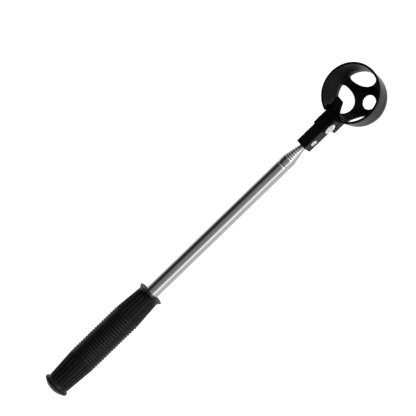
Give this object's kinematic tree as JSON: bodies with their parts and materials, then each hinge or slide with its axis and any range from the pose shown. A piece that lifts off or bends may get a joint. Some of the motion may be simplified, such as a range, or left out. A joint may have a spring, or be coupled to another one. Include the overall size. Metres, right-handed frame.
{
  "type": "golf ball retriever",
  "caption": "Telescopic golf ball retriever: rubber grip, nested steel tubes and a folding black scoop with drain holes and a one-way ball flap.",
  "frame": {"origin": "on the shaft's axis, midway along the bare length of the outer tube, 218 mm from the grip's domed end", "axes": "+X along the shaft from the grip to the scoop, +Z the way the scoop's mouth faces, +Y across the shaft, along the hinge pin"},
  "size_m": [0.4309, 0.06, 0.0525],
  "materials": {
    "grip_rubber": "moulded, satin",
    "steel_tube": "polished stainless",
    "clip_brass": "plain",
    "plug_plastic": "plain",
    "block_plastic": "satin moulded",
    "scoop_plastic": "satin moulded",
    "rivet_steel": "bright"
  },
  "bodies": {
    "handle": {"grip": "grip_rubber", "end_plug": "plug_plastic", "tube_1": "steel_tube"},
    "section_2": {"tube_2": "steel_tube", "friction_clip_2": "clip_brass"},
    "section_3": {"tube_3": "steel_tube", "friction_clip_3": "clip_brass"},
    "section_4": {"tube_4": "steel_tube", "friction_clip_4": "clip_brass"},
    "section_5": {"tube_5": "steel_tube", "friction_clip_5": "clip_brass"},
    "section_6": {"tube_6": "steel_tube", "friction_clip_6": "clip_brass"},
    "section_7": {"tube_7": "steel_tube", "friction_clip_7": "clip_brass"},
    "section_8": {"tube_8": "steel_tube", "friction_clip_8": "clip_brass", "hinge_block": "block_plastic", "block_rivet": "rivet_steel"},
    "head": {"scoop": "scoop_plastic", "pivot_rivet": "rivet_steel", "pivot_washer": "rivet_steel", "flap_pin": "rivet_steel", "flap_spring": "rivet_steel"},
    "flap": {"flap": "scoop_plastic"}
  },
  "joints": [
    {"name": "section_2_slide", "type": "slide", "parent": "handle", "child": "section_2", "axis": [1, 0, 0], "range_m": [0, 0.2147]},
    {"name": "section_3_slide", "type": "slide", "parent": "section_2", "child": "section_3", "axis": [1, 0, 0], "range_m": [0, 0.2261]},
    {"name": "section_4_slide", "type": "slide", "parent": "section_3", "child": "section_4", "axis": [1, 0, 0], "range_m": [0, 0.2285]},
    {"name": "section_5_slide", "type": "slide", "parent": "section_4", "child": "section_5", "axis": [1, 0, 0], "range_m": [0, 0.2309]},
    {"name": "section_6_slide", "type": "slide", "parent": "section_5", "child": "section_6", "axis": [1, 0, 0], "range_m": [0, 0.2333]},
    {"name": "section_7_slide", "type": "slide", "parent": "section_6", "child": "section_7", "axis": [1, 0, 0], "range_m": [0, 0.2357]},
    {"name": "section_8_slide", "type": "slide", "parent": "section_7", "child": "section_8", "axis": [1, 0, 0], "range_m": [0, 0.2381]},
    {"name": "head_fold", "type": "hinge", "parent": "section_8", "child": "head", "pos_m": [0.1442, 0, 0], "axis": [0, 1, 0], "range_deg": [0, 90]},
    {"name": "flap_swing", "type": "hinge", "parent": "head", "child": "flap", "pos_m": [0.1586, 0, 0.0063], "axis": [0, 1, 0], "range_deg": [0, 113], "stiffness_Nm_per_rad": 0.004, "springref_deg": -17.19}
  ]
}
